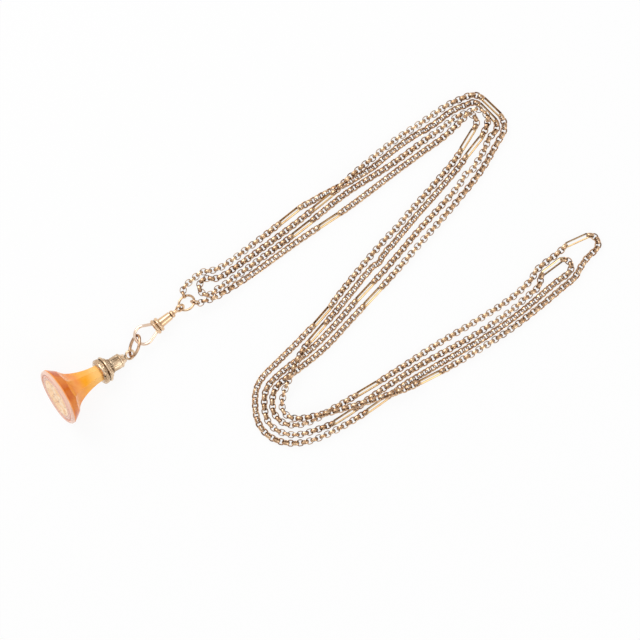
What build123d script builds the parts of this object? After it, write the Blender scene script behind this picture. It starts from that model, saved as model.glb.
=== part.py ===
from build123d import *
import math
import os

import numpy as np

# A long guard chain for a pocket watch, laid out on a flat surface, with a
# swivel dog clip and a fob seal on the ring that gathers its two ends.
# Millimetres, +Z up, the floor is Z = 0.

# Driving sizes of the lay-out
laid_width = 206.5
pixels_across_share = 640
centre_x_share = 322.27
centre_y_share = 269.5

# Driving sizes of the belcher links
link_length = 2.62
link_width = 2.3
link_thickness = 0.3
link_band = 0.98
link_band_inset = 0.17
link_pitch = 1.56
link_pitch_slack = 0.04
floor_clearance = 0.02
strand_clearance = 0.14

# Driving sizes of the bar links
bar_length = 8.8
bar_width = 2.06
bar_thickness = 0.34
bar_band = 0.95
bar_band_inset = 0.1

# Driving sizes of the rings
end_ring_radius = 2.7
end_ring_wire = 0.8
jump_ring_radius = 1.35
jump_ring_wire = 0.65
jump_ring_play = 0.44
seal_ring_reach = 3.5
seal_ring_half_width = 2.2
seal_ring_end_radius = 1.6
seal_ring_wire = 1.0
seal_ring_height = 2.25

# Driving sizes of the dog clip and its swivel
clip_height = 2.7
hook_radius = 2.95
hook_wire = 1.05
hook_reach = 5.4
hook_offset = 0.3
leg_offset = 1.5
pivot_depth = 0.75
pivot_offset = 1.25
gate_width = 1.0
gate_thickness = 0.8
gate_clearance = 0.08
gate_pin_radius = 0.25
gate_pin_length = 4.5
pin_clearance = 0.03
slot_width = 0.9
slot_floor = 0.3
slot_back = 0.1
spring_thickness = 0.12
spring_width = 0.6
flange_front = 1.35
flange_back = 1.3
flange_front_peak = 0.7
flange_back_peak = 0.6
flange_front_radius = 2.65
flange_back_radius = 2.5
flange_face_radius = 2.2
flange_groove_radius = 2.05
flange_heel_radius = 1.75
barrel_radius = 1.6
barrel_end_radius = 1.4
barrel_length = 4.0
barrel_bore_radius = 1.1
barrel_end_wall = 0.5
stem_radius = 0.5
running_clearance = 0.05
washer_radius = 0.95
washer_thickness = 0.42
bead_radius = 1.3
bead_end_radius = 0.9
bead_length = 1.34
neck_radius = 0.6
eye_radius = 1.3
eye_wire = 0.85
eye_reach = 9.17

# Driving sizes of the seal, measured along its axis from the engraved face
seal_face_radius = 9.3
seal_rim_radius = 9.7
seal_rim_start = 0.4
seal_rim_end = 1.2
bevel_slope_share = 0.7
bevel_end = 6.5
stone_blank_radius = 5.5
stone_blank_end = 8.0
flute_start = 6.5
flute_radius = 6.3
neck_place = 17.0
neck_half_width = 2.7
flare_radius = 24.9
stone_length = 16.1
facet_count = 8
face_groove_radius = 8.3
face_groove_width = 0.35
face_groove_depth = 0.2
tenon_radius = 2.2
tenon_length = 2.4
cement_gap = 0.15
collar_radius = 4.4
collar_length = 3.1
collar_round = 0.8
step_radius = 3.45
step_length = 0.8
step_round = 0.25
cap_radius = 2.4
cap_length = 4.6
cap_band_radius = 2.7
cap_band_length = 0.7
cap_cone_length = 1.6
cap_end_radius = 1.35
pendant_reach = 28.2
pendant_radius = 1.5
pendant_wire = 0.8
pendant_root_radius = 0.7

# The chain's route, read by hand from the photograph: for each run of links
# between two bars, the points it passes, in pixels of the photograph
RUN_SHARES = [
    [(182.6, 287.6), (185.4, 283.8), (190, 281.8), (196.5, 280), (203.3, 277.4), (211.8, 272.5),
     (220.2, 268.9), (228.6, 263.3), (235.6, 257), (249.5, 246.8), (257.9, 240.5), (264.9, 234.9),
     (273.3, 229.3)],
    [(307, 204), (315.4, 199.7), (323.9, 194.2), (333.7, 190.5), (346, 183), (360, 176), (372.3, 168.8),
     (377.9, 163.2), (384.2, 157.5), (390.5, 152.6), (398.2, 146.3), (401.6, 141.4), (409.9, 136.4),
     (419, 133.1), (424.8, 130.6), (429.8, 126.5), (436.4, 123.2), (443.1, 118.2), (448, 112.4),
     (456.3, 106.6), (464.6, 104.1), (473.7, 102.4)],
    [(496.1, 120.7), (493.6, 128.1), (490.3, 136.4), (486.2, 145.6), (482, 154.7), (477.9, 162.1),
     (474, 169.1), (468.9, 172.3), (465.1, 171.7), (464.4, 178.1), (460.6, 183.8), (456.1, 188.9),
     (452.3, 194.6), (445.3, 201.7), (439.5, 208), (432.5, 215.1), (426.1, 222.1), (419.8, 229.1),
     (412.3, 237), (406.5, 244.7), (400.8, 251.7), (394.4, 259.3), (387.4, 267.6), (381, 274.6)],
    [(353.6, 304), (349.8, 307.8), (345.3, 312.9), (339.6, 319.9), (332.5, 328.9), (325.5, 335.9),
     (318.5, 342.9), (311.5, 349.9), (305.7, 353.8), (292.3, 363.3), (284.7, 369.1), (276.5, 376.7),
     (270.6, 381.3), (265.2, 386.7), (263.7, 393.6), (263.7, 399.7), (264.1, 408.9), (265.2, 417.3),
     (267.5, 423.4), (272.9, 428.8), (279, 432.6), (286.7, 434.9), (296.6, 436.4), (306, 434),
     (316, 430), (326, 427)],
    [(360, 406), (366, 401), (372.8, 395.5), (379.8, 391.4), (388.2, 385.8), (393.2, 382.3),
     (402.3, 376.7), (407.2, 373.2), (415.6, 367.5), (424.7, 362.6), (433.9, 357.7), (447.4, 350.4),
     (456.5, 345.4), (466.3, 340.5), (476.1, 334.9), (485.3, 329.3), (493.7, 324.4), (500.7, 319.5),
     (509.1, 313.2), (516.8, 307.5), (524, 299.3), (531.1, 294.4), (536.7, 288.8), (541.6, 281.8),
     (547.2, 276.1)],
    [(571, 257.5), (575, 262), (573.5, 268), (568, 272.5), (562, 277.5), (557, 281), (551.4, 285.3),
     (545.1, 290.2), (540.9, 295.8), (535.3, 301.4), (529.2, 307), (524.6, 311.8), (516.1, 317.4),
     (507.7, 323.7), (499.3, 330), (490.2, 334.9), (481.8, 340.5), (472.6, 345.4), (463.5, 350.4),
     (454.4, 356.7), (445.3, 360.9), (435.7, 365.6), (427, 370.8), (421.2, 374.6), (413.5, 378.8),
     (407.9, 381.6), (400, 387), (393.2, 392.8), (388, 397)],
    [(361.6, 416), (356.7, 419.5), (346.8, 424.4), (338, 429.3), (324.2, 437.2), (312.7, 441.8),
     (302, 444.8), (291.3, 444.8), (279.8, 443.3), (269.8, 438.7), (262.2, 431.8), (256.8, 422.6),
     (255.3, 413.5), (254.9, 405), (254.5, 395.9), (255.3, 388.2), (258.4, 381.3), (266, 372.9),
     (273.7, 366), (281.3, 358.4), (289, 350.7), (297.3, 342.9), (304.4, 335.3), (310.8, 327)],
    [(332.6, 302.7), (337.7, 296.3), (344, 288.7), (349.8, 281), (355.5, 274), (361.3, 267),
     (367.6, 259.3), (373.4, 253), (379.7, 245.3), (386.1, 238.3), (392.5, 231.9), (400.6, 224),
     (406.4, 216.3), (412.1, 209.3), (417.9, 202.9), (424.2, 195.9), (430, 189.5), (435.7, 183.2),
     (441.5, 176.1), (447.2, 169.8), (452.3, 163.4), (457.4, 157)],
    [(476.5, 125), (478.5, 118.5), (475, 113.5), (468.5, 112), (460.5, 113), (453, 117.4), (446.4, 124),
     (439.8, 129.8), (433.1, 133.9), (426.5, 138.9), (419, 143.9), (410.7, 149.7), (403.6, 156.2),
     (396.1, 161.8), (387.7, 168.8), (380, 173), (371.6, 176.5), (363.2, 179.3), (354, 185.6),
     (344.9, 192.6), (337.9, 198.9), (330.9, 205.3), (322.5, 211), (316.8, 217.4)],
    [(285.3, 241.2), (277.5, 246.8), (269.1, 252.5), (260.7, 258.8), (253, 265.8), (245.4, 271),
     (236.3, 279.5), (229.3, 284.4), (219, 289), (210, 292), (202, 294), (196.5, 291), (196.5, 285),
     (201.5, 281.5), (207, 280.5), (213.9, 279.5), (219.5, 279.5), (224.4, 275.3), (232.1, 269.6),
     (241.2, 263.3), (250, 257), (257.9, 251.1), (266.3, 245.4), (274.7, 238.4), (283.2, 232.8),
     (292.3, 226.5), (300, 220.2), (307, 214.6)],
    [(338, 188), (345.6, 180.7), (351.2, 176.5), (357.5, 171.6), (365.3, 163.9), (370.9, 159.6),
     (377.2, 153.3), (384.2, 147.7), (391.2, 143.5), (400, 137.3), (410.7, 129.8), (419, 124.8),
     (427.3, 119), (434.8, 113.2), (441.4, 109.1), (448.9, 104.9), (457.2, 100), (466.3, 96.6),
     (475.4, 95)],
    [(505.3, 119), (503.6, 127.3), (501.1, 136.4), (497, 143.9), (492.8, 151.4), (488.7, 158.8),
     (484.5, 166.3), (479.6, 173.7), (474.6, 181.3), (467.6, 188.3), (461.2, 195.9), (455.5, 203.6),
     (449.7, 210.6), (443.4, 217), (437.6, 224), (431.9, 230.4), (425.5, 236.7), (417.4, 246.6),
     (411, 254.2), (405.3, 260.6), (398.9, 268.3), (392.5, 275.9), (385.5, 284.2)],
    [(361.3, 309.1), (355.5, 315.5), (349.7, 320), (342.7, 328.9), (337.6, 335.9), (330.6, 342.9),
     (324.2, 349.3), (317.2, 355.7), (310.2, 360.8), (304.4, 364), (298, 370), (292.3, 374.8),
     (284, 380), (277, 384), (272.9, 389), (272.1, 395.9), (272.1, 405), (272.1, 412.7), (274.4, 418),
     (279.8, 420.3), (285.9, 424.2), (292.8, 426.5), (303, 425), (315, 420), (326, 413), (334.9, 407.5),
     (340.5, 404.7), (345.4, 401.9), (351.1, 399.1)],
    [(382.6, 378.8), (387.5, 377.4), (392.5, 373.2), (400.9, 367.5), (406.5, 364.7), (414.9, 359.1),
     (427.2, 350.3), (436.8, 344.7), (446, 339.1), (455.1, 333.5), (464.2, 328.6), (473.3, 323),
     (481.8, 317.4), (490.9, 312.5), (499.3, 306.8), (508.4, 300.5), (517.2, 294.6), (526.1, 285.3),
     (533.9, 278.2), (540.9, 269.1), (549.3, 262.1), (554.9, 257.2), (561.9, 251.6)],
    [(596, 233), (600, 237), (600.5, 243), (596, 248), (590, 250.5), (585, 254.5), (581.5, 260),
     (579, 267), (575, 274.5), (570, 280.5), (565.5, 286.5), (561.5, 292.5), (555, 295.5), (548.5, 299),
     (540, 306), (533, 312.5), (525.3, 320.2), (516.1, 325.1), (507.7, 331.4), (499.3, 337),
     (490.9, 342.6), (481.8, 348.2), (472.6, 353.2), (463.5, 359.5), (453.7, 365.1), (444.6, 370.7)],
    [(412.8, 387.2), (405, 389.5), (396, 391), (387.5, 394.9), (377, 399.1), (371.4, 401.9), (362, 404),
     (354.6, 404.7), (344.7, 409.6), (335, 411), (325, 413), (315.7, 415.7), (308.1, 418.8),
     (301.2, 421.1), (293.6, 421.1), (285, 419), (280.6, 415), (280.6, 408.9), (281.3, 401.2),
     (282.1, 393.6), (285.9, 385.9), (290.4, 374), (294.2, 366.5), (298.1, 359.5), (301.3, 351.2),
     (305.7, 344.8)],
    [(327.4, 321.3), (332, 316.5), (337, 310.4), (342.8, 303.3), (347.9, 296.3), (353.6, 290),
     (358.1, 284.2), (363.8, 276.6), (369.5, 269.5), (374, 265.1), (379.7, 264.4), (380, 259),
     (383.6, 254.2), (389.3, 247.9), (395.7, 241.5), (401.3, 233.5), (407.7, 225.9), (413.4, 218.9),
     (419.1, 212.5), (425.5, 205.5), (430.6, 199.7), (435.7, 194), (442.1, 186.4), (448.5, 178.7),
     (453.6, 173.3), (459.3, 166.6), (463.8, 161)],
    [(487, 128.5), (490, 121.5), (488.7, 114.9), (483, 109.5), (476, 107.5), (469, 110.5),
     (463.5, 116.5), (458.8, 123.2), (451.4, 130.6), (444.7, 137.3), (436.4, 143.1), (427.3, 148),
     (420.7, 152.2), (415.7, 158), (407.4, 163), (399.8, 168), (391.9, 174.4), (384.9, 180),
     (377.2, 185.6), (368.8, 191.9), (361.8, 198.2), (354, 203.2), (349.1, 206.7), (343.5, 210.9)],
    [(311.9, 231.4), (303.5, 237), (295.1, 242.6), (286.7, 248.9), (278.2, 255.3), (269.8, 260.9),
     (261.4, 267.2), (253, 272.3), (246.1, 277.4), (238, 281.5), (229.3, 286.5), (224.4, 290),
     (218.1, 294.9), (210, 299.5)],
]

# The two ends of each bar link, in the order in which the chain runs
BAR_SHARES = [
    ((279.6, 223.7), (299.3, 206.8)),
    ((482, 104.6), (496, 117)),
    ((373.4, 282.3), (355.5, 300.8)),
    ((334.2, 423.7), (353.9, 410.4)),
    ((545.5, 275), (565.5, 259.5)),
    ((385.4, 400.5), (367.2, 412.5)),
    ((314, 325.7), (330.6, 306.6)),
    ((463, 147.2), (472.9, 130.6)),
    ((311.9, 220.9), (290.9, 237.7)),
    ((312.6, 209), (332.3, 194.7)),
    ((483.7, 98.3), (503.6, 114)),
    ((381, 287.4), (364.4, 305.9)),
    ((356, 395.6), (379.8, 381.6)),
    ((568.2, 247.4), (590.7, 234)),
    ((440, 373.9), (418.4, 385.1)),
    ((309.5, 341), (325.5, 323.2)),
    ((467, 155.5), (482, 136.4)),
    ((340, 213.7), (318.9, 227)),
]
# Where one strand passes over another: the run on top, and the place
CROSSING_SHARES = [
    (10, (338.3, 187.7)),
    (15, (298.3, 359.1)),
    (15, (289.4, 376.6)),
    (15, (326.5, 412.7)),
    (15, (362.5, 403.9)),
    (15, (394.5, 391.7)),
    (17, (467.4, 112.2)),
    (17, (479.5, 108.2)),
    (17, (488.3, 114.8)),
]
crossing_reach_share = 11.0
crossing_lift_share = 1.25

# How far each bar is rolled about its own length, in degrees
BAR_ROLLS = [-47, -42, 50, -44, 36, 47, -50, -40, 46, -45, -42, 50, -47, -34, 50, -46, -42, 50]

# The links that a bar holds roll over less than the bar does
held_roll_share = 0.64

# How far each run of links leans over at its middle, in degrees
RUN_LEANS = [20, -25, 15, 30, -20, 25, -30, 20, 25, -15, 30, -20, 25, 15, -30, 20, -25, 30, -15]

# Where the swivel, the seal, the rings and the chain's two ends lie, and how
# they are turned, in degrees
flange_place_share = (157.5, 325.5)
clip_heading = 38.0
seal_face_place_share = (58.0, 397.7)
seal_heading = 31.0
chain_start_shares = ((184.3, 296.8), (182.5, 292.4))
chain_end_shares = ((202.0, 301.5), (198.6, 304.3))
chain_end_heights = (1.2, 1.2, 2.59, 3.11)
end_ring_tilt = 35.0
jump_ring_turn = -35.8
jump_ring_heading = 79.0
jump_ring_tilt = -18.3
jump_ring_lean = 48.3
seal_ring_place_share = (134.6, 345.9)
seal_ring_heading = 73.0
seal_ring_tilt = 51.0
pendant_roll = 34.0

settle_rounds_share = 400
turn_limit = 30.0

os.makedirs("parts", exist_ok=True)
millimetres_per_pixel = laid_width / pixels_across_share


def spot(place_share, height=0.0):
    x, y = place_share
    across = (x - centre_x_share) * millimetres_per_pixel
    along = (centre_y_share - y) * millimetres_per_pixel
    return Vector(across, along, height)


def heading(degrees):
    return Vector(math.cos(math.radians(degrees)), math.sin(math.radians(degrees)), 0)


def save(piece, name):
    piece.label = name
    export_step(piece, f"parts/{name}.step")


# Belcher link: a stadium of a band that is rounded outside and slightly
# crowned inside, lying flat in its own XY plane with its length along X


def banded_loop(length, width, thickness, band, inset):
    inner = width / 2 - thickness
    half_run = (length - width) / 2
    shoulder = inner + inset
    with BuildPart() as loop:
        for side in (1, -1):
            with BuildSketch(Plane.YZ.offset(side * half_run)):
                with BuildLine():
                    ThreePointArc((side * shoulder, -band / 2), (side * inner, 0), (side * shoulder, band / 2))
                    ThreePointArc(
                        (side * shoulder, band / 2), (side * (inner + thickness), 0), (side * shoulder, -band / 2)
                    )
                make_face()
            revolve(axis=Axis((side * half_run, 0, 0), (0, 0, -1)), revolution_arc=180)
            with BuildSketch(Plane.YZ.offset(-half_run)):
                with BuildLine():
                    ThreePointArc((side * shoulder, -band / 2), (side * inner, 0), (side * shoulder, band / 2))
                    ThreePointArc(
                        (side * shoulder, band / 2), (side * (inner + thickness), 0), (side * shoulder, -band / 2)
                    )
                make_face()
            extrude(amount=2 * half_run)
    return loop.part


belcher_link = banded_loop(link_length, link_width, link_thickness, link_band, link_band_inset)
bar_link = banded_loop(bar_length, bar_width, bar_thickness, bar_band, bar_band_inset)

# The lay of the chain: one bead at each joint, where two links hold each
# other, and three more along each bar. The beads start on the route and then
# settle: they keep their pitch, stay a strand apart, bend no more than the
# links let them and sink to the floor, so that a strand that crosses another
# rides over it.

BAR_STEPS = 4
bar_step = (bar_length - link_length + link_pitch) / BAR_STEPS
rest_height = link_width / 2 + floor_clearance


def point_of(place_share, height=0.0):
    return np.array(tuple(spot(place_share, height)))


def spread_evenly(points, gaps):
    points = np.array(points)
    steps = np.linalg.norm(np.diff(points, axis=0), axis=1)
    along = np.concatenate([[0], np.cumsum(steps)])
    wanted = np.linspace(0, along[-1], gaps + 1)
    return np.stack([np.interp(wanted, along, points[:, i]) for i in range(3)], axis=1)


def bar_ends(ends_share):
    start, end = (point_of(place) for place in ends_share)
    middle = (start + end) / 2
    half = (end - start) / np.linalg.norm(end - start) * bar_step * BAR_STEPS / 2
    return middle - half, middle + half


def first_lay():
    """The joints on the route, and for the gap after each the run or bar it is."""
    bars = [bar_ends(ends) for ends in BAR_SHARES]
    chain_start = [point_of(place) for place in chain_start_shares]
    chain_end = [point_of(place) for place in chain_end_shares]
    joints, gaps = [], []
    for run, places in enumerate(RUN_SHARES):
        points = [point_of(place) for place in places]
        points = (chain_start if run == 0 else [bars[run - 1][1]]) + points
        points = points + (chain_end if run == len(bars) else [bars[run][0]])
        length = sum(np.linalg.norm(b - a) for a, b in zip(points, points[1:]))
        count = 2 * round((length / link_pitch - 1) / 2) + 1
        joints.extend(spread_evenly(points, count)[:count])
        gaps.extend([("run", run)] * count)
        if run < len(bars):
            start, end = bars[run]
            joints.extend(start + (end - start) * step / BAR_STEPS for step in range(BAR_STEPS))
            gaps.extend([("bar", run)] * BAR_STEPS)
    joints.append(chain_end[1])
    return np.array(joints), gaps


def settle():
    joints, gaps = first_lay()
    total = len(joints)
    bar_gap = np.array([kind == "bar" for kind, index in gaps])
    on_bar = np.zeros(total, bool)
    on_bar[:-1] |= bar_gap
    on_bar[1:] |= bar_gap
    run_number = np.array([index for kind, index in gaps] + [len(RUN_SHARES) - 1])
    strand = np.where(on_bar, len(RUN_SHARES) + run_number, run_number)
    fixed = joints[[0, 1, -2, -1]].copy()
    fixed[:, 2] = chain_end_heights
    for smoothing in range(4):
        mean = joints.copy()
        mean[1:-1] = (joints[:-2] + 2 * joints[1:-1] + joints[2:]) / 4
        joints = np.where(on_bar[:, None], joints, mean)
    goal = joints[:, :2].copy()
    joints[:, 2] = rest_height
    reach = crossing_reach_share * millimetres_per_pixel
    for run, place in CROSSING_SHARES:
        away = np.linalg.norm(joints[:, :2] - point_of(place)[:2], axis=1)
        lift = crossing_lift_share * link_width * np.clip(1.5 - away / reach, 0, 1)
        lifted = run_number == run
        joints[:, 2] = np.where(lifted, np.maximum(joints[:, 2], rest_height + lift), joints[:, 2])
    pitch = np.linalg.norm(np.diff(joints[:, :2], axis=0), axis=1)
    for run in range(len(RUN_SHARES)):
        ours = ~bar_gap & (run_number[:-1] == run)
        pitch[ours] = min(max(pitch[ours].mean(), link_pitch - link_pitch_slack), link_pitch + link_pitch_slack)
    pitch[bar_gap] = bar_step
    starts = np.array([i for i in range(total - 1) if bar_gap[i] and not bar_gap[i - 1]])
    radius = np.where(on_bar, bar_width / 2, link_width / 2) + strand_clearance / 2
    bend = math.sin(math.radians(turn_limit) / 2)
    pulled_rounds = settle_rounds_share * 2 / 3
    for turn in range(settle_rounds_share):
        if turn < pulled_rounds:
            joints[:, :2] += (goal - joints[:, :2]) * 0.06
        joints[:, 2] = np.maximum(joints[:, 2] - link_pitch / 700, rest_height)
        if turn % 10 == 0:
            between = joints[:, None, :] - joints[None, :, :]
            close = (between ** 2).sum(axis=2) < (radius.max() * 3.2) ** 2
            firsts, seconds = np.where(close)
            apart = (seconds - firsts > 2) & ((strand[firsts] != strand[seconds]) | (seconds - firsts > 3))
            firsts, seconds = firsts[apart], seconds[apart]
        offset = joints[seconds] - joints[firsts]
        distance = np.maximum(np.linalg.norm(offset, axis=1), link_pitch / 1000)
        push = np.maximum(radius[firsts] + radius[seconds] - distance, 0) * 0.4
        step = offset / distance[:, None] * push[:, None]
        np.add.at(joints, seconds, step)
        np.add.at(joints, firsts, -step)
        straighten_bars(joints, starts)
        ease_bends(joints, pitch, bend, 4 if turn < pulled_rounds else 16)
        for repeat in range(8):
            keep_pitch(joints, pitch)
            joints[[0, 1, -2, -1]] = fixed
        joints[:, 2] = np.maximum(joints[:, 2], rest_height)
        straighten_bars(joints, starts)
    return joints, gaps


def straighten_bars(joints, starts):
    """Each bar is stiff: it keeps the mean place and the mean line of its joints."""
    steps = range(BAR_STEPS + 1)
    middle = sum(joints[starts + i] for i in steps) / len(steps)
    line = sum(joints[starts + i] * (i - BAR_STEPS / 2) for i in steps)
    line /= np.linalg.norm(line, axis=1)[:, None]
    for i in steps:
        joints[starts + i] = middle + line * (i - BAR_STEPS / 2) * bar_step


def ease_bends(joints, pitch, bend, repeats):
    for repeat in range(repeats):
        sag = joints[1:-1] - (joints[:-2] + joints[2:]) / 2
        size = np.linalg.norm(sag, axis=1)
        limit = np.minimum(pitch[:-1], pitch[1:]) * bend
        excess = np.where((size > limit), (size - limit) / np.maximum(size, link_pitch / 1000), 0)
        move = excess[:, None] * sag
        joints[1:-1] -= 0.3 * move
        joints[:-2] += 0.15 * move
        joints[2:] += 0.15 * move


def keep_pitch(joints, pitch):
    for odd in (0, 1):
        left = np.arange(odd, len(joints) - 1, 2)
        span = joints[left + 1] - joints[left]
        length = np.linalg.norm(span, axis=1)
        move = span * ((length - pitch[left]) / length / 2)[:, None]
        joints[left] += move
        joints[left + 1] -= move


def placed(piece, centre, direction, roll):
    """The piece at a centre, its X axis along a direction, rolled about it."""
    line = Vector(*direction).normalized()
    up = Vector(0, 0, 1)
    normal = (up - line * up.dot(line)).normalized()
    side = line.cross(normal)
    turned = normal * math.cos(math.radians(roll)) + side * math.sin(math.radians(roll))
    return piece.moved(Plane(origin=tuple(centre), x_dir=line, z_dir=turned).location)


# The links stand on the settled lay: upright and flat in turn, so that each
# run starts and ends across the bars that it holds
joints, gaps = settle()
RUN_COUNT = len(RUN_SHARES)
END_ROLLS = [0] + [roll * held_roll_share for roll in BAR_ROLLS] + [90]

for run in range(RUN_COUNT):
    ours = [i for i, gap in enumerate(gaps) if gap == ("run", run)]
    links = []
    for number, i in enumerate(ours):
        share = number / (len(ours) - 1)
        lean = END_ROLLS[run] * (1 - share) + END_ROLLS[run + 1] * share + RUN_LEANS[run] * math.sin(math.pi * share)
        upright = 90 if number % 2 == 0 else 0
        middle = (joints[i] + joints[i + 1]) / 2
        links.append(placed(belcher_link, middle, joints[i + 1] - joints[i], lean + upright))
    save(Compound(children=links), f"belcher_run_{run + 1:02d}")

for bar, roll in enumerate(BAR_ROLLS):
    first = gaps.index(("bar", bar))
    start, end = joints[first], joints[first + BAR_STEPS]
    save(placed(bar_link, (start + end) / 2, end - start, roll), f"bar_link_{bar + 1:02d}")


def round_ring(middle, outward, normal, radius, wire):
    """A ring of round wire: one point lies outward of the middle."""
    with BuildPart() as ring:
        with BuildSketch(Plane(origin=middle + outward * radius, x_dir=outward, z_dir=normal.cross(outward))):
            Circle(wire / 2)
        revolve(axis=Axis(middle, normal))
    return ring.part


# The clip's own frame: origin in the middle of the flange, x along the
# swivel towards the chain, z up
upward = Vector(0, 0, 1)
clip_origin = spot(flange_place_share, clip_height)
along_clip = heading(clip_heading)
across_clip = heading(clip_heading + 90)


def clip_point(x, y=0.0, z=0.0):
    return clip_origin + along_clip * x + across_clip * y + upward * z


def clip_plane(x=0.0, y=0.0, z=0.0):
    return Plane(origin=clip_point(x, y, z), x_dir=along_clip, z_dir=upward)


clip_axis = Axis(clip_origin, along_clip)

# End ring and the jump ring between it and the last link
ring_across = across_clip * math.cos(math.radians(end_ring_tilt)) - upward * math.sin(math.radians(end_ring_tilt))
ring_normal = along_clip.cross(ring_across)
ring_middle = clip_point(eye_reach + end_ring_radius)
save(round_ring(ring_middle, along_clip, ring_normal, end_ring_radius, end_ring_wire), "end_ring")

jump_turn = math.radians(jump_ring_turn)
jump_hold = ring_middle + (along_clip * math.cos(jump_turn) + ring_across * math.sin(jump_turn)) * end_ring_radius
jump_tilt = math.radians(jump_ring_tilt)
jump_normal = heading(jump_ring_heading) * math.cos(jump_tilt) + upward * math.sin(jump_tilt)
jump_level = heading(jump_ring_heading - 90)
jump_lean = math.radians(jump_ring_lean)
jump_outward = jump_level * math.cos(jump_lean) + jump_normal.cross(jump_level) * math.sin(jump_lean)
jump_middle = jump_hold + jump_outward * jump_ring_play
save(round_ring(jump_middle, jump_outward, jump_normal, jump_ring_radius, jump_ring_wire), "chain_jump_ring")

# Hook of the clip: a leg from the flange that runs on into most of a circle


def touch_turn(x, y, side):
    """Where a line from a point touches the hook's circle, as a turn in degrees."""
    away_x = x + hook_reach
    away_y = y - hook_offset
    reach = math.hypot(away_x, away_y)
    return math.degrees(math.atan2(away_y, away_x) + side * math.acos(hook_radius / reach))


def hook_point(turn):
    x = -hook_reach + hook_radius * math.cos(math.radians(turn))
    y = hook_offset + hook_radius * math.sin(math.radians(turn))
    return x, y


leg_turn = touch_turn(-flange_front, -leg_offset, -1)
nose_turn = touch_turn(-pivot_depth, pivot_offset, 1)
leg_x, leg_y = hook_point(leg_turn)
nose_x, nose_y = hook_point(nose_turn)
leg_start_x = -flange_front + (-flange_front - leg_x) / 4
leg_start_y = -leg_offset + (-leg_offset - leg_y) / 4

with BuildPart() as clip_hook:
    with BuildLine(clip_plane()) as hook_line:
        Line((leg_start_x, leg_start_y), (leg_x, leg_y))
        CenterArc((-hook_reach, hook_offset), hook_radius, leg_turn, nose_turn - leg_turn - 360)
    with BuildSketch(Plane(origin=hook_line.wires()[0] @ 0, z_dir=hook_line.wires()[0] % 0)):
        Circle(hook_wire / 2)
    sweep(path=hook_line.wires()[0])
    split(bisect_by=Plane(origin=clip_point(-flange_front), z_dir=along_clip), keep=Keep.BOTTOM)
save(clip_hook.part, "clip_hook")

# Flange: two rounded rings, slotted for the gate
with BuildPart() as clip_flange:
    with BuildSketch(clip_plane()):
        with BuildLine():
            Polyline((-flange_front, 0), (-flange_front, flange_face_radius))
            ThreePointArc(
                (-flange_front, flange_face_radius), (-flange_front_peak, flange_front_radius), (0, flange_groove_radius)
            )
            ThreePointArc(
                (0, flange_groove_radius), (flange_back_peak, flange_back_radius), (flange_back, flange_heel_radius)
            )
            Polyline((flange_back, flange_heel_radius), (flange_back, 0), (-flange_front, 0))
        make_face()
    revolve(axis=clip_axis)
    slot_length = flange_front
    slot_height = flange_front_radius
    slot_y = slot_floor + slot_height / 2
    with BuildSketch(clip_plane(-slot_back - slot_length / 2, slot_y)):
        Rectangle(slot_length, slot_height)
    extrude(amount=slot_width / 2, both=True, mode=Mode.SUBTRACT)
    with BuildSketch(clip_plane(-pivot_depth, pivot_offset)):
        Circle(gate_pin_radius)
    extrude(amount=gate_pin_length, both=True, mode=Mode.SUBTRACT)
save(clip_flange.part, "clip_flange")

with BuildPart() as gate_pin:
    with BuildSketch(clip_plane(-pivot_depth, pivot_offset)):
        Circle(gate_pin_radius)
    extrude(amount=gate_pin_length / 2, both=True)
save(gate_pin.part, "gate_pin")

# Gate: from its pin to the nose of the hook
gate_length = math.hypot(nose_x + pivot_depth, nose_y - pivot_offset) - gate_clearance
gate_way = (clip_point(nose_x, nose_y) - clip_point(-pivot_depth, pivot_offset)).normalized()
with BuildPart() as clip_gate:
    with BuildSketch(Plane(origin=clip_point(-pivot_depth, pivot_offset), x_dir=gate_way, z_dir=upward)):
        Circle(gate_width / 2)
        with Locations((gate_length / 2, 0)):
            Rectangle(gate_length, gate_width)
        Circle(gate_pin_radius + pin_clearance, mode=Mode.SUBTRACT)
    extrude(amount=gate_thickness / 2, both=True)
save(clip_gate.part, "clip_gate")

# Spring: a leaf from the back of the slot that bears up under the gate
spring_root = clip_point(-slot_back, slot_floor + spring_thickness)
spring_tip = clip_point(spring_thickness - flange_front, slot_floor + gate_width * 0.53)
spring_line = spring_tip - spring_root
with BuildPart() as gate_spring:
    with BuildSketch(Plane(origin=(spring_root + spring_tip) / 2, x_dir=spring_line, z_dir=upward)):
        Rectangle(spring_line.length, spring_thickness)
    extrude(amount=spring_width / 2, both=True)
save(gate_spring.part, "gate_spring")

# Barrel, hollow, with the stem of the swivel eye through its end wall
barrel_end = flange_back + barrel_length
with BuildPart() as clip_barrel:
    with BuildSketch(clip_plane()):
        Polygon(
            (flange_back, barrel_bore_radius),
            (flange_back, barrel_radius),
            (barrel_end, barrel_end_radius),
            (barrel_end, stem_radius + running_clearance),
            (barrel_end - barrel_end_wall, stem_radius + running_clearance),
            (barrel_end - barrel_end_wall, barrel_bore_radius),
            align=None,
        )
    revolve(axis=clip_axis)
save(clip_barrel.part, "clip_barrel")

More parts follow.
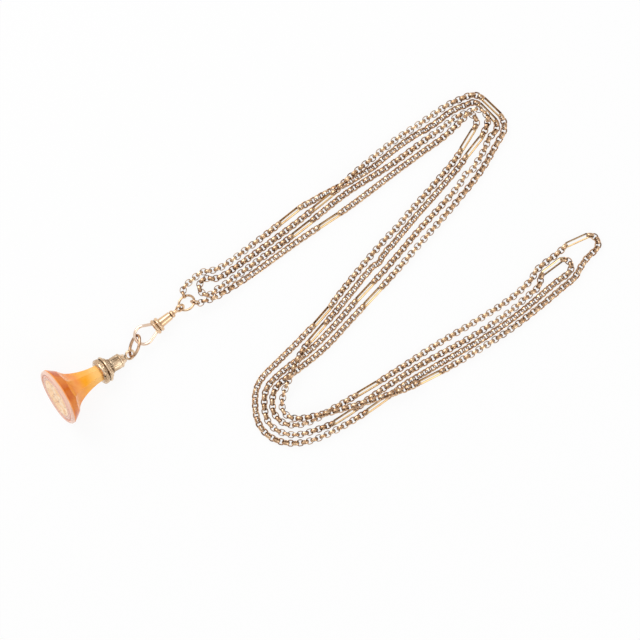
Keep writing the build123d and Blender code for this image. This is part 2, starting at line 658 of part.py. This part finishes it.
bead_start = barrel_end + running_clearance
washer_end = barrel_end - barrel_end_wall - running_clearance
washer_start = washer_end - washer_thickness
neck_start = bead_start + bead_length
neck_end = eye_reach - eye_radius
neck_tip = neck_end + eye_wire / 4
with BuildPart() as swivel_eye:
    with BuildSketch(clip_plane()):
        with BuildLine():
            Polyline(
                (bead_start, bead_end_radius),
                (bead_start, stem_radius),
                (washer_start, stem_radius),
                (washer_start, 0),
                (neck_tip, 0),
                (neck_tip, neck_radius),
                (neck_start, neck_radius),
                (neck_start, bead_end_radius),
            )
            ThreePointArc(
                (neck_start, bead_end_radius), (bead_start + bead_length / 2, bead_radius), (bead_start, bead_end_radius)
            )
        make_face()
    revolve(axis=clip_axis)
    eye_middle = clip_point(eye_reach)
    with BuildSketch(Plane(origin=clip_point(neck_end), x_dir=along_clip, z_dir=ring_normal)):
        Circle(eye_wire / 2)
    revolve(axis=Axis(eye_middle, ring_across))
save(swivel_eye.part, "swivel_eye")

with BuildPart() as stem_washer:
    with BuildSketch(clip_plane()):
        with Locations(((washer_start + washer_end) / 2, (stem_radius + washer_radius) / 2)):
            Rectangle(washer_thickness, washer_radius - stem_radius)
    revolve(axis=clip_axis)
save(stem_washer.part, "stem_washer")

# Seal ring: an oval of four arcs, through the hook and the pendant eye
oval_middle = spot(seal_ring_place_share, seal_ring_height)
oval_tilt = math.radians(seal_ring_tilt)
oval_along = heading(seal_ring_heading)
oval_across = heading(seal_ring_heading - 90) * math.cos(oval_tilt) + upward * math.sin(oval_tilt)
oval_plane = Plane(origin=oval_middle, x_dir=oval_along, z_dir=oval_along.cross(oval_across))
end_reach = seal_ring_reach - seal_ring_end_radius
end_depth = seal_ring_half_width - seal_ring_end_radius
side_drop = (end_reach**2 - end_depth**2) / (2 * end_depth)
side_radius = seal_ring_half_width + side_drop
side_turn = math.degrees(math.atan2(end_reach, side_drop))
with BuildPart() as seal_ring:
    with BuildLine(oval_plane) as oval:
        CenterArc((end_reach, 0), seal_ring_end_radius, side_turn - 90, 180 - 2 * side_turn)
        CenterArc((0, -side_drop), side_radius, 90 - side_turn, 2 * side_turn)
        CenterArc((-end_reach, 0), seal_ring_end_radius, 90 + side_turn, 180 - 2 * side_turn)
        CenterArc((0, side_drop), side_radius, 270 - side_turn, 2 * side_turn)
    with BuildSketch(Plane(origin=oval.wires()[0] @ 0, z_dir=oval.wires()[0] % 0)):
        Circle(seal_ring_wire / 2)
    sweep(path=oval.wires()[0])
save(seal_ring.part, "seal_ring")

# The seal lies on the rims of its face and its collar
rest_run = stone_length + collar_length - collar_round - seal_rim_end
seal_tilt = math.atan2(seal_rim_radius - collar_radius, rest_run)
face_height = floor_clearance + seal_rim_end * math.sin(seal_tilt) + seal_rim_radius * math.cos(seal_tilt)
face_middle = spot(seal_face_place_share, face_height)
seal_way = heading(seal_heading) * math.cos(seal_tilt) - upward * math.sin(seal_tilt)
seal_side = heading(seal_heading + 90)
seal_axis = Axis(face_middle, seal_way)
seal_section = Plane(origin=face_middle, x_dir=seal_way, z_dir=seal_side)


def seal_point(s):
    return face_middle + seal_way * s


def seal_revolve(*outline):
    """A turned piece: the outline gives places along the axis and radii."""
    with BuildPart() as piece:
        with BuildSketch(seal_section):
            Polygon(*outline, align=None)
        revolve(axis=seal_axis)
    return piece.part


flare_turn = math.asin((neck_place - flute_start) / flare_radius)
flare_middle_y = neck_half_width + flare_radius
flute_y = flare_middle_y - flare_radius * math.cos(flare_turn)
flute_middle_x = flute_start + flute_radius * math.sin(flare_turn)
flute_middle_y = flute_y + flute_radius * math.cos(flare_turn)
stone_end_y = flare_middle_y - math.sqrt(flare_radius**2 - (neck_place - stone_length) ** 2)
mid_flare = (flute_start + stone_length) / 2
mid_flare_y = flare_middle_y - math.sqrt(flare_radius**2 - (neck_place - mid_flare) ** 2)
mid_turn = (flare_turn + math.pi / 2) / 2
mid_flute_x = flute_middle_x - flute_radius * math.sin(mid_turn)
mid_flute_y = flute_middle_y - flute_radius * math.cos(mid_turn)
bevel_end_radius = seal_rim_radius - bevel_slope_share * (bevel_end - seal_rim_end)

with BuildPart() as seal_stone:
    with BuildSketch(seal_section):
        Polygon(
            (0, 0),
            (0, face_groove_radius - face_groove_width),
            (face_groove_depth, face_groove_radius - face_groove_width / 2),
            (face_groove_depth, face_groove_radius + face_groove_width / 2),
            (0, face_groove_radius + face_groove_width),
            (0, seal_face_radius),
            (seal_rim_start, seal_rim_radius),
            (seal_rim_end, seal_rim_radius),
            (bevel_end, bevel_end_radius),
            (stone_blank_end, stone_blank_radius),
            (stone_length, stone_blank_radius),
            (stone_length, 0),
            align=None,
        )
    revolve(axis=seal_axis)
    for facet in range(facet_count // 2):
        turn = math.radians(facet * 360 / facet_count)
        facet_normal = seal_side * math.cos(turn) + seal_way.cross(seal_side) * math.sin(turn)
        with BuildSketch(Plane(origin=face_middle, x_dir=seal_way, z_dir=facet_normal)):
            for side in (1, -1):
                with BuildLine():
                    Polyline((stone_length, side * stone_end_y), (stone_length, 0), (-seal_rim_start, 0))
                    Polyline(
                        (-seal_rim_start, 0),
                        (-seal_rim_start, side * flute_middle_y),
                        (flute_middle_x - flute_radius, side * flute_middle_y),
                    )
                    ThreePointArc(
                        (flute_middle_x - flute_radius, side * flute_middle_y),
                        (mid_flute_x, side * mid_flute_y),
                        (flute_start, side * flute_y),
                    )
                    ThreePointArc(
                        (flute_start, side * flute_y),
                        (mid_flare, side * mid_flare_y),
                        (stone_length, side * stone_end_y),
                    )
                make_face()
        extrude(amount=2 * seal_rim_radius, both=True, mode=Mode.INTERSECT)
    with BuildSketch(Plane(origin=seal_point(stone_length), x_dir=seal_side, z_dir=seal_way)):
        Circle(tenon_radius)
    extrude(amount=tenon_length)
save(seal_stone.part, "seal_stone")

cement_radius = tenon_radius + cement_gap
seal_cement = seal_revolve(
    (stone_length + cement_gap, tenon_radius),
    (stone_length + cement_gap, cement_radius),
    (stone_length + tenon_length, cement_radius),
    (stone_length + tenon_length, tenon_radius),
)
save(seal_cement, "seal_cement")

collar_end = stone_length + collar_length
with BuildPart() as seal_collar:
    with BuildSketch(seal_section):
        Polygon(
            (stone_length, cement_radius),
            (stone_length, collar_radius - collar_round),
            (stone_length + collar_round, collar_radius),
            (collar_end - collar_round, collar_radius),
            (collar_end, collar_radius - collar_round),
            (collar_end, 0),
            (stone_length + tenon_length, 0),
            (stone_length + tenon_length, cement_radius),
            align=None,
        )
    revolve(axis=seal_axis)
save(seal_collar.part, "seal_collar")

step_end = collar_end + step_length
seal_step_ring = seal_revolve(
    (collar_end, 0),
    (collar_end, step_radius - step_round),
    (collar_end + step_round, step_radius),
    (step_end - step_round, step_radius),
    (step_end, step_radius - step_round),
    (step_end, 0),
)
save(seal_step_ring, "seal_step_ring")

cap_end = step_end + cap_length
seal_cap = seal_revolve(
    (step_end, 0),
    (step_end, cap_band_radius),
    (step_end + cap_band_length, cap_band_radius),
    (step_end + cap_band_length, cap_radius),
    (cap_end, cap_radius),
    (cap_end + cap_cone_length, cap_end_radius),
    (cap_end + cap_cone_length, 0),
)
save(seal_cap, "seal_cap")

roll = math.radians(pendant_roll)
pendant_across = seal_side * math.cos(roll) + seal_way.cross(seal_side) * math.sin(roll)
pendant_normal = seal_way.cross(pendant_across)
with BuildPart() as seal_pendant_eye:
    with BuildSketch(Plane(origin=seal_point(cap_end + cap_cone_length), x_dir=seal_side, z_dir=seal_way)):
        Circle(pendant_root_radius)
    extrude(amount=pendant_reach - pendant_radius - cap_end - cap_cone_length)
    with BuildSketch(
        Plane(origin=seal_point(pendant_reach - pendant_radius), x_dir=seal_way, z_dir=pendant_across)
    ):
        Circle(pendant_wire / 2)
    revolve(axis=Axis(seal_point(pendant_reach), pendant_normal))
save(seal_pendant_eye.part, "seal_pendant_eye")
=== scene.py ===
import math

import bpy
import numpy as np
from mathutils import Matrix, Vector


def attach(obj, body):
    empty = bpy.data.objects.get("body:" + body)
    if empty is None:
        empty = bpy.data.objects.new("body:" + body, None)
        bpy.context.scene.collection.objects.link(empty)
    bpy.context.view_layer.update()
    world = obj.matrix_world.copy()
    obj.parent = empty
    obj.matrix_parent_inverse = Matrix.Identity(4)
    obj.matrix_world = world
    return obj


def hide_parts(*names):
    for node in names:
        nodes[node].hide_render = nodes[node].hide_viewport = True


# A long guard chain with a swivel dog clip and a fob seal, dressed on its
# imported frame. Metres, +Z up, the floor is Z = 0. The seal's own sizes are in
# millimetres along its axis, from the middle of its engraved face.

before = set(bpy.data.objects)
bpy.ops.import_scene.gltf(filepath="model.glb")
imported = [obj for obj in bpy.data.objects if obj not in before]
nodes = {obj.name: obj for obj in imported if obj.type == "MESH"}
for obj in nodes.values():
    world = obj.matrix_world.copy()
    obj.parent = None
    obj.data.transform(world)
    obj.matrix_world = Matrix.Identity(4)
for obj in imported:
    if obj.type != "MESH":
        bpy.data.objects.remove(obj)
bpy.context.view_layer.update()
MM = 0.001

# Where the seal stands: the middle of its engraved face, and its own axes
FACE = Vector((-0.0852684, -0.0413645, 0.0096433))
WAY = Vector((0.819159, 0.492201, -0.294476))
SIDE = Vector((-0.515038, 0.857167, 0.0))
OVER = WAY.cross(SIDE)


def srgb(r, g, b):
    """A colour as it shows on a screen, 0 to 255, as linear values."""
    out = []
    for value in (r, g, b):
        c = value / 255
        out.append(c / 12.92 if c <= 0.04045 else ((c + 0.055) / 1.055) ** 2.4)
    return (*out, 1.0)


def grey(level):
    return (level, level, level, 1.0)


# Camera: straight above, with a long lens
VIEW_WIDTH = 0.2065
VIEW_MIDDLE = (-0.0007324, -0.0162941)
VIEW_LEVEL = 0.003
LENS = 200.0
SENSOR = 36.0
camera_data = bpy.data.cameras.new("camera")
camera_data.lens = LENS
camera_data.sensor_width = SENSOR
camera_data.clip_end = 20
camera = bpy.data.objects.new("camera", camera_data)
camera.location = (*VIEW_MIDDLE, VIEW_WIDTH * LENS / SENSOR + VIEW_LEVEL)
bpy.context.scene.collection.objects.link(camera)
bpy.context.scene.camera = camera
bpy.context.scene.view_settings.view_transform = "Standard"

# Materials
NOISE_RANGE = (0.35, 0.65)
# Samples and range of the painted shade that darkens hollows
HOLLOW_SHADE_SAMPLES = 4
HOLLOW_SHADE_RANGE = (0.25, 0.8)


class Graph:
    """Short forms for the nodes of one material."""

    def __init__(self, name):
        self.material = bpy.data.materials.new(name)
        self.material.use_nodes = True
        self.tree = self.material.node_tree
        self.shader = self.tree.nodes["Principled BSDF"]

    def put(self, socket, value):
        """Link a node's output to the socket, or set the socket's number."""
        if isinstance(value, bpy.types.NodeSocket):
            self.tree.links.new(value, socket)
        else:
            socket.default_value = value

    def math(self, operation, *values, clamp=False):
        node = self.tree.nodes.new("ShaderNodeMath")
        node.operation = operation
        node.use_clamp = clamp
        for socket, value in zip(node.inputs, values):
            self.put(socket, value)
        return node.outputs[0]

    def place(self):
        return self.tree.nodes.new("ShaderNodeTexCoord").outputs["Object"]

    def along(self, origin, axis):
        """How far the place lies from origin along axis, in metres."""
        away = self.tree.nodes.new("ShaderNodeVectorMath")
        away.operation = "SUBTRACT"
        self.put(away.inputs[0], self.place())
        away.inputs[1].default_value = origin
        dot = self.tree.nodes.new("ShaderNodeVectorMath")
        dot.operation = "DOT_PRODUCT"
        self.put(dot.inputs[0], away.outputs[0])
        dot.inputs[1].default_value = axis
        return dot.outputs["Value"]

    def noise(self, size, detail=2.0, low=0.0, high=1.0):
        """Noise with spots of that size in metres, spread over low to high."""
        node = self.tree.nodes.new("ShaderNodeTexNoise")
        self.put(node.inputs["Vector"], self.place())
        node.inputs["Scale"].default_value = 1 / size
        node.inputs["Detail"].default_value = detail
        return self.span(node.outputs[0], *NOISE_RANGE, low, high)

    def span(self, value, start, end, low=0.0, high=1.0):
        """Low up to start, high from end on, and smooth between them."""
        node = self.tree.nodes.new("ShaderNodeMapRange")
        node.interpolation_type = "SMOOTHSTEP"
        self.put(node.inputs["Value"], value)
        node.inputs["From Min"].default_value = start
        node.inputs["From Max"].default_value = end
        node.inputs["To Min"].default_value = low
        node.inputs["To Max"].default_value = high
        return node.outputs[0]

    def mix(self, share, first, second):
        """A colour between two. The node's colours are sockets 6, 7 and 2."""
        node = self.tree.nodes.new("ShaderNodeMix")
        node.data_type = "RGBA"
        self.put(node.inputs["Factor"], share)
        self.put(node.inputs[6], first)
        self.put(node.inputs[7], second)
        return node.outputs[2]

    def hollow_shade(self, reach):
        """Painted shade: 1 in the open, towards 0 in hollows within that reach, by ambient
        occlusion.
        """
        node = self.tree.nodes.new("ShaderNodeAmbientOcclusion")
        node.samples = HOLLOW_SHADE_SAMPLES
        node.inputs["Distance"].default_value = reach
        return node.outputs["AO"]

    def bump(self, height, depth, strength):
        node = self.tree.nodes.new("ShaderNodeBump")
        node.inputs["Strength"].default_value = strength
        node.inputs["Distance"].default_value = depth
        self.put(node.inputs["Height"], height)
        self.put(self.shader.inputs["Normal"], node.outputs[0])

    def set(self, **values):
        for name, value in values.items():
            self.put(self.shader.inputs[name.replace("_", " ")], value)


def gold(name, bright, worn, hollow_shade, rough, patch=2.5, reach=0.8):
    """Precious metal: patches of wear that are patch mm wide, and painted shade: a darker
    colour in hollows within reach mm. The colours are as srgb takes them."""
    g = Graph(name)
    skin = g.mix(g.noise(patch * MM, 3.0), srgb(*bright), srgb(*worn))
    # Painted shade: the colour turns darker in hollows, found by ambient occlusion
    unshaded_share = g.span(g.hollow_shade(reach * MM), *HOLLOW_SHADE_RANGE)
    g.set(
        Base_Color=g.mix(unshaded_share, srgb(*hollow_shade), skin),
        Metallic=1.0,
        Roughness=g.noise(patch * MM / 3, 2.0, rough * 0.75, rough * 1.35),
    )
    return g.material


# The third colour of each gold is painted shade for its hollows
LINK_GOLD = gold("link_gold", (232, 198, 162), (194, 154, 118), (46, 30, 20), 0.18, reach=1.1)
BAR_GOLD = gold(
    "bar_gold", (246, 214, 166), (228, 188, 138), (52, 28, 14), 0.16, patch=4, reach=2.2
)
RING_GOLD = gold("ring_gold", (230, 198, 164), (204, 168, 134), (84, 56, 40), 0.16)
CLIP_GOLD = gold(
    "clip_gold", (250, 224, 202), (242, 212, 188), (120, 78, 60), 0.14, patch=5, reach=0.5
)
BARREL_GOLD = gold(
    "barrel_gold", (238, 204, 168), (216, 176, 138), (70, 44, 30), 0.14, patch=4, reach=0.9
)
COPPER_GOLD = gold("copper_gold", (214, 180, 148), (186, 148, 116), (92, 40, 34), 0.16)
MOUNT_GOLD = gold("mount_gold", (238, 212, 180), (198, 166, 132), (48, 32, 22), 0.16, patch=3)


def spring_steel():
    g = Graph("spring_steel")
    skin = g.mix(g.noise(1.5 * MM), srgb(140, 140, 146), srgb(104, 104, 112))
    g.set(Base_Color=skin, Metallic=1.0, Roughness=0.3)
    return g.material


def seal_cement():
    g = Graph("seal_cement")
    skin = g.mix(g.noise(0.6 * MM), srgb(120, 100, 78), srgb(84, 68, 52))
    g.set(Base_Color=skin, Roughness=0.9)
    return g.material


# The stone's sizes, as its solid has them
RIM_RADIUS = 9.7
RIM_END = 1.2
BEVEL_SLOPE = 0.7
BEVEL_END = 6.5
SHAFT_MIDDLE = 10.0
SHAFT_END = 15.5

# The engraving of its face: petals between rings, each a radius and a half
# width, and a border of beads
ENGRAVED_RINGS = ((6.8, 0.16), (1.5, 0.3), (8.3, 0.22))
BORDER_RING = (7.55, 0.35)
BORDER_BEADS = 44
PETAL_ROOT = 2.4
PETAL_REACH = 3.2
PETAL_TURNS = 4
PETAL_LINE = 0.22
ENGRAVING_DEPTH = 0.12


def bell(g, value, middle, half):
    """1 at the middle, 0 from half away on both sides. Both in mm."""
    off = g.math("DIVIDE", g.math("SUBTRACT", value, middle * MM), half * MM)
    return g.math("SUBTRACT", 1.0, g.math("MULTIPLY", off, off), clamp=True)


def wave(g, turn, count):
    return g.math("COSINE", g.math("MULTIPLY", turn, float(count)))


def engraving(g, r, turn):
    """1 in the cut lines of the stone's face, 0 beside them."""
    beads = g.span(wave(g, turn, BORDER_BEADS), -0.2, 0.6)
    cut = g.math("MULTIPLY", beads, bell(g, r, *BORDER_RING))
    reach = g.math("ABSOLUTE", wave(g, turn, PETAL_TURNS))
    reach = g.math("MULTIPLY", reach, PETAL_REACH * MM)
    petal = g.math("ADD", PETAL_ROOT * MM, reach)
    outline = bell(g, g.math("SUBTRACT", r, petal), 0.0, PETAL_LINE)
    cut = g.math("ADD", cut, outline, clamp=True)
    for middle, half in ENGRAVED_RINGS:
        cut = g.math("ADD", cut, bell(g, r, middle, half), clamp=True)
    return cut


def amber_stone():
    """Amber stone: pale cut face with a border, dark bevel, lighter facets, and a faint
    painted glow.
    """
    g = Graph("amber_stone")
    s = g.along(FACE, WAY)
    a = g.along(FACE, SIDE)
    b = g.along(FACE, OVER)
    r = g.math("SQRT", g.math("ADD", g.math("MULTIPLY", a, a), g.math("MULTIPLY", b, b)))
    turn = g.math("ARCTAN2", b, a)

    low_shaft = g.span(s, BEVEL_END * MM, SHAFT_MIDDLE * MM)
    shaft = g.mix(low_shaft, srgb(240, 150, 72), srgb(250, 170, 40))
    high_shaft = g.span(s, SHAFT_MIDDLE * MM, SHAFT_END * MM)
    shaft = g.mix(high_shaft, shaft, srgb(255, 204, 120))
    bands = g.math("MULTIPLY", g.noise(3.2 * MM), 0.3)
    shaft = g.mix(bands, shaft, srgb(255, 200, 100))

    # The facets cut into the cone of the bevel, so they lie inside it
    bevel = g.mix(g.noise(5 * MM), srgb(202, 92, 0), srgb(222, 124, 4))
    cone_tip = (RIM_RADIUS + BEVEL_SLOPE * RIM_END) * MM
    cone = g.math("SUBTRACT", cone_tip, g.math("MULTIPLY", s, BEVEL_SLOPE))
    inside = g.span(g.math("SUBTRACT", cone, r), 0.02 * MM, 0.10 * MM)
    past_bevel = g.span(s, (BEVEL_END - 0.1) * MM, BEVEL_END * MM)
    body = g.mix(g.math("MAXIMUM", inside, past_bevel), bevel, shaft)
    past_rim = g.span(s, 0.6 * MM, 0.9 * MM)
    body = g.mix(past_rim, srgb(236, 204, 184), body)

    face = g.mix(g.noise(2.6 * MM, 3.0), srgb(255, 226, 176), srgb(250, 190, 104))
    face = g.mix(g.span(r, 5.8 * MM, 7.4 * MM), face, srgb(242, 190, 164))
    face = g.mix(g.span(r, 8.7 * MM, 9.2 * MM), face, srgb(240, 206, 186))
    cut = engraving(g, r, turn)
    face = g.mix(g.math("MULTIPLY", cut, 0.6), face, srgb(150, 78, 48))
    on_face = g.span(s, 0.25 * MM, 0.45 * MM, 1.0, 0.0)

    colour = g.mix(on_face, body, face)
    # The emission is a painted glow: the stone shines faintly in its own colours, though it is
    # no lamp
    g.set(
        Base_Color=colour,
        Emission_Color=colour,
        Emission_Strength=0.12,
        Roughness=0.12,
        IOR=1.54,
        Specular_IOR_Level=0.35,
        Transmission_Weight=0.2,
    )
    height = g.math("MULTIPLY", g.math("MULTIPLY", cut, on_face), -1.0)
    g.bump(height, ENGRAVING_DEPTH * MM, 0.8)
    return g.material


STONE = amber_stone()
STEEL = spring_steel()
CEMENT = seal_cement()

FINISH = {
    "end_ring": RING_GOLD,
    "chain_jump_ring": RING_GOLD,
    "swivel_eye": BARREL_GOLD,
    "clip_barrel": BARREL_GOLD,
    "clip_flange": BARREL_GOLD,
    "seal_ring": COPPER_GOLD,
    "seal_stone": STONE,
    "seal_cement": CEMENT,
    "seal_collar": MOUNT_GOLD,
    "seal_step_ring": MOUNT_GOLD,
    "seal_cap": MOUNT_GOLD,
    "seal_pendant_eye": MOUNT_GOLD,
    "gate_spring": STEEL,
}
for name, node in nodes.items():
    if name.startswith("belcher_run"):
        finish = LINK_GOLD
    elif name.startswith("bar_link"):
        finish = BAR_GOLD
    else:
        finish = FINISH.get(name, CLIP_GOLD)
    for slot in node.material_slots:
        slot.material = finish

# The chased mount of the seal
ROW_STEP = 0.08 * MM


def turned(name, replaced, profile, around, relief):
    """A turned piece of the seal's mount. Its profile is places along the
    seal's axis and radii, and relief gives what is added to the radius."""
    rows = []
    for (s0, r0), (s1, r1) in zip(profile, profile[1:]):
        count = max(1, round(math.hypot(s1 - s0, r1 - r0) * MM / ROW_STEP))
        for k in range(count):
            rows.append((s0 + (s1 - s0) * k / count, r0 + (r1 - r0) * k / count))
    rows.append(profile[-1])
    points = [FACE + WAY * (rows[0][0] * MM)]
    for s, r in rows:
        for k in range(around):
            turn = 2 * math.pi * k / around
            radius = (r + relief(s, turn, r)) * MM
            outwards = SIDE * math.cos(turn) + OVER * math.sin(turn)
            points.append(FACE + WAY * (s * MM) + outwards * radius)
    points.append(FACE + WAY * (rows[-1][0] * MM))
    faces = []
    for k in range(around):
        faces.append((0, 1 + (k + 1) % around, 1 + k))
    for i in range(len(rows) - 1):
        low = 1 + i * around
        for k in range(around):
            n = (k + 1) % around
            faces.append((low + k, low + n, low + around + n, low + around + k))
    last = 1 + (len(rows) - 1) * around
    for k in range(around):
        faces.append((last + k, last + (k + 1) % around, len(points) - 1))
    mesh = bpy.data.meshes.new(name)
    mesh.from_pydata(points, [], faces)
    mesh.validate()
    mesh.polygons.foreach_set("use_smooth", [True] * len(mesh.polygons))
    piece = bpy.data.objects.new(name, mesh)
    bpy.context.scene.collection.objects.link(piece)
    mesh.materials.append(MOUNT_GOLD)
    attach(piece, "seal")
    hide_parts(replaced)


# Collar: a barrel with scrolls on a sunk ground, and a plain ring beside it
COLLAR_START = 16.1
COLLAR_END = 19.2
SCROLLS = 7
SCROLL_RADIUS = 4.3
SCROLL_WIDTH = 0.36
SCROLL_DEPTH = 0.18
SCROLL_END = 18.15
SCROLL_LEAST_RADIUS = 3.7
SCROLL_SHRINK = 0.82
SCROLL_COUNT = 40
CELL = 2 * math.pi * SCROLL_RADIUS / SCROLLS


def spiral(x, y, radius, start, turns):
    """Points of a scroll that winds in to its eye."""
    out = []
    for k in range(SCROLL_COUNT):
        t = k / (SCROLL_COUNT - 1)
        reach = radius * (1 - SCROLL_SHRINK * t)
        turn = start - turns * 2 * math.pi * t
        out.append((x + reach * math.cos(turn), y + reach * math.sin(turn)))
    return out


def stem(x):
    """Points of the wavy line from one scroll to the next."""
    return [
        (x + CELL * (0.5 + 0.5 * t), 17.75 - 1.1 * t + 0.2 * math.sin(math.pi * t))
        for t in np.linspace(0, 1, 16)
    ]


scroll_points = []
for shift in (-CELL, 0, CELL):
    scroll_points += spiral(shift + CELL * 0.30, 17.62, 0.62, math.pi * 0.9, 1.25)
    scroll_points += spiral(shift + CELL * 0.74, 17.02, 0.50, -math.pi * 0.1, 1.2)
    scroll_points += stem(shift)
SCROLL_POINTS = np.array(scroll_points)


def collar_relief(s, turn, r):
    if s <= COLLAR_START + 0.02 or s > SCROLL_END or r < SCROLL_LEAST_RADIUS:
        return 0.0
    x = (turn * SCROLL_RADIUS) % CELL
    away = np.sqrt(((SCROLL_POINTS - (x, s)) ** 2).sum(1)).min()
    raised = max(0.0, 1 - (away / SCROLL_WIDTH) ** 2) ** 0.5
    return SCROLL_DEPTH * (raised - 1)


def half_round(middle, half, root, rise, count):
    """Places of a rounded band, half wide on both sides of its middle."""
    return [
        (middle - half * math.cos(t), root + rise * math.sin(t))
        for t in np.linspace(0, math.pi, count)
    ]


collar_profile = [(COLLAR_START, 2.35)]
collar_profile += half_round(17.2, 1.1, 3.55, 0.8, 31)
collar_profile += half_round(18.77, 0.43, 3.98, 0.42, 15)
collar_profile += [(COLLAR_END, 2.0)]
turned("chased_collar", "seal_collar", collar_profile, 420, collar_relief)

# Step ring: slanting gadroons between rounded edges
STEP_END = 20.0
STEP_RADIUS = 3.45
STEP_EDGE = 0.3
STEP_DROP = 0.25
GADROON_TURNS = 15
GADROON_DEPTH = 0.2
GADROON_SLANT = 1.6
GADROON_LEAST_RADIUS = 3.0


def step_relief(s, turn, r):
    if r < GADROON_LEAST_RADIUS:
        return 0.0
    slanted = turn * GADROON_TURNS + (s - COLLAR_END) * GADROON_SLANT
    return -GADROON_DEPTH * (1 - abs(math.cos(slanted)) ** 0.6)


def rounded_edge(s, way):
    """Places of the step ring's edge, from its end at s up to its radius."""
    return [
        (s + way * STEP_EDGE * (1 - math.cos(t)), STEP_RADIUS - STEP_DROP * (1 - math.sin(t)))
        for t in np.linspace(0, math.pi / 2, 7)
    ]


step_profile = [(COLLAR_END, 2.0)] + rounded_edge(COLLAR_END, 1)
step_profile += list(reversed(rounded_edge(STEP_END, -1))) + [(STEP_END, 2.0)]
turned("gadroon_ring", "seal_step_ring", step_profile, 360, step_relief)

# Cap: a beaded band, leaves up to a groove, and a cone under the eye
BEADS = 24
BEAD_RADIUS = 0.34
BEAD_MIDDLE = 20.36
BEAD_END = 20.75
BAND_RADIUS = 2.7
LEAF_TURNS = 6
LEAF_START = 21.0
LEAF_ROOT = 21.2
LEAF_LENGTH = 2.6
LEAF_END = 24.0
GROOVE_END = 24.1
GROOVE_DEPTH = 0.2


def cap_relief(s, turn, r):
    if s < BEAD_END and r > 2.3:
        bead = turn * BEADS / (2 * math.pi)
        off = (bead - round(bead)) * 2 * math.pi * BAND_RADIUS / BEADS
        away = math.hypot(off, s - BEAD_MIDDLE)
        return -BEAD_RADIUS + math.sqrt(max(0.0, BEAD_RADIUS**2 - away**2))
    if LEAF_START < s < LEAF_END:
        leaf = abs(math.sin(turn * LEAF_TURNS))
        tip = LEAF_ROOT + LEAF_LENGTH * leaf**0.8
        edge = max(0.0, 1 - abs(s - tip) / 0.18)
        vein = max(0.0, 1 - abs(math.cos(turn * LEAF_TURNS)) / 0.12)
        if s < tip:
            return -0.05 - 0.1 * (1 - leaf) + 0.06 * edge - 0.05 * vein
        return -0.05 - 0.04 * (1 - leaf) + 0.06 * edge
    if LEAF_END <= s <= GROOVE_END:
        return -GROOVE_DEPTH
    return 0.0


cap_profile = [(STEP_END, 1.6), (STEP_END, BAND_RADIUS), (20.72, BAND_RADIUS), (20.8, 2.34)]
cap_profile += [(LEAF_START, 2.4), (LEAF_END, 2.4), (24.12, 2.4), (24.45, 2.44), (24.62, 2.36)]
cap_profile += [(24.9, 2.0), (25.4, 1.62), (25.9, 1.42), (26.2, 1.35), (26.2, 0.6)]
turned("chased_cap", "seal_cap", cap_profile, 360, cap_relief)

# Floor, light and world
FLOOR_LEVEL = 0.9
FLOOR_GLOW = 0.9


def floor_finish():
    """Pale and dull, and near white where the camera or a reflection sees it."""
    g = Graph("floor")
    g.set(Base_Color=grey(FLOOR_LEVEL), Roughness=0.9, Specular_IOR_Level=0.0)
    path = g.tree.nodes.new("ShaderNodeLightPath")
    seen = g.math("ADD", path.outputs["Is Camera Ray"], path.outputs["Is Glossy Ray"])
    seen = g.math("ADD", seen, path.outputs["Is Transmission Ray"], clamp=True)
    glow = g.tree.nodes.new("ShaderNodeEmission")
    glow.inputs["Strength"].default_value = 1.0
    blend = g.tree.nodes.new("ShaderNodeMixShader")
    g.put(blend.inputs[0], g.math("MULTIPLY", seen, FLOOR_GLOW))
    g.put(blend.inputs[1], g.shader.outputs[0])
    g.put(blend.inputs[2], glow.outputs[0])
    g.put(g.tree.nodes["Material Output"].inputs["Surface"], blend.outputs[0])
    return g.material


bpy.ops.mesh.primitive_plane_add(size=4)
floor = bpy.context.object
floor.name = "floor"
floor.data.materials.append(floor_finish())

AIM = Vector((0, -0.01, 0))


def softbox(name, place, size, power):
    """A square lamp at that place, turned to the middle of the chain."""
    data = bpy.data.lights.new(name, "AREA")
    data.shape = "SQUARE"
    data.size = size
    data.energy = power
    lamp = bpy.data.objects.new(name, data)
    lamp.location = place
    lamp.rotation_euler = (AIM - Vector(place)).to_track_quat("-Z", "Y").to_euler()
    bpy.context.scene.collection.objects.link(lamp)


softbox("key", (-0.42, 0.46, 0.55), 0.5, 2.7)
softbox("fill", (0.5, -0.42, 0.5), 0.4, 1.0)

# The world's greys by height: 0 is the horizon and all below it, 1 is straight
# above. The dark band lets the gold show dark reflections.
WORLD_HORIZON = 0.9
WORLD_TOP = 0.8
WORLD_LEVELS = ((0.3, 0.9), (0.4, 0.08), (0.56, 0.08), (0.68, 0.9), (0.9, 0.95))
world = bpy.data.worlds.new("world")
bpy.context.scene.world = world
world.use_nodes = True
tree = world.node_tree
sky = tree.nodes["Background"]
heading = tree.nodes.new("ShaderNodeTexCoord")
parts = tree.nodes.new("ShaderNodeSeparateXYZ")
tree.links.new(heading.outputs["Generated"], parts.inputs[0])
greys = tree.nodes.new("ShaderNodeValToRGB")
tree.links.new(parts.outputs["Z"], greys.inputs[0])
ramp = greys.color_ramp
ramp.interpolation = "EASE"
for place, level in WORLD_LEVELS:
    ramp.elements.new(place).color = grey(level)
ramp.elements[0].color = grey(WORLD_HORIZON)
ramp.elements[-1].color = grey(WORLD_TOP)
tree.links.new(greys.outputs[0], sky.inputs["Color"])
sky.inputs["Strength"].default_value = 1.0

bpy.context.view_layer.update()
